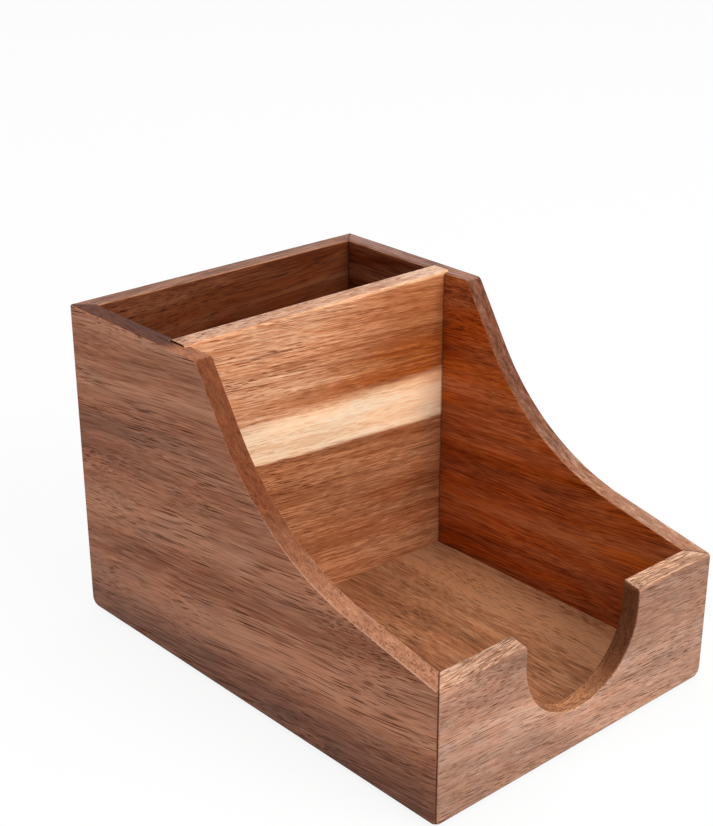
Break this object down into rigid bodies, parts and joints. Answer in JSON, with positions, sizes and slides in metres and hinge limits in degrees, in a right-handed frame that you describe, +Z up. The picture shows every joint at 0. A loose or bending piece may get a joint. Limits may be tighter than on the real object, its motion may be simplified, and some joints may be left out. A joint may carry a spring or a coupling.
{
  "type": "desk organizer",
  "caption": "Small solid wood desk organizer: an open note tray with a thumb notch in front of a taller pen compartment, with scooped sides and mitred corners.",
  "frame": {"origin": "on the desk, under the middle of the organizer's footprint", "axes": "+X to the right seen from the front, +Y from the front panel to the rear panel, +Z up"},
  "size_m": [0.088, 0.126, 0.0819],
  "materials": {
    "wall_wood": "oiled satin reddish brown wood with open pores",
    "divider_wood": "oiled satin orange brown wood with a cream sapwood band",
    "base_wood": "oiled satin brown wood",
    "spline_wood": "bare pale wood",
    "foot_pad": "matt dark foam rubber"
  },
  "bodies": {
    "root": {"left_side_panel": "wall_wood", "right_side_panel": "wall_wood", "front_panel": "wall_wood", "rear_panel": "wall_wood", "divider_panel": "divider_wood", "base_panel": "base_wood", "front_left_spline": "spline_wood", "front_right_spline": "spline_wood", "rear_left_spline": "spline_wood", "rear_right_spline": "spline_wood", "front_left_foot": "foot_pad", "front_right_foot": "foot_pad", "rear_left_foot": "foot_pad", "rear_right_foot": "foot_pad"}
  },
  "joints": []
}
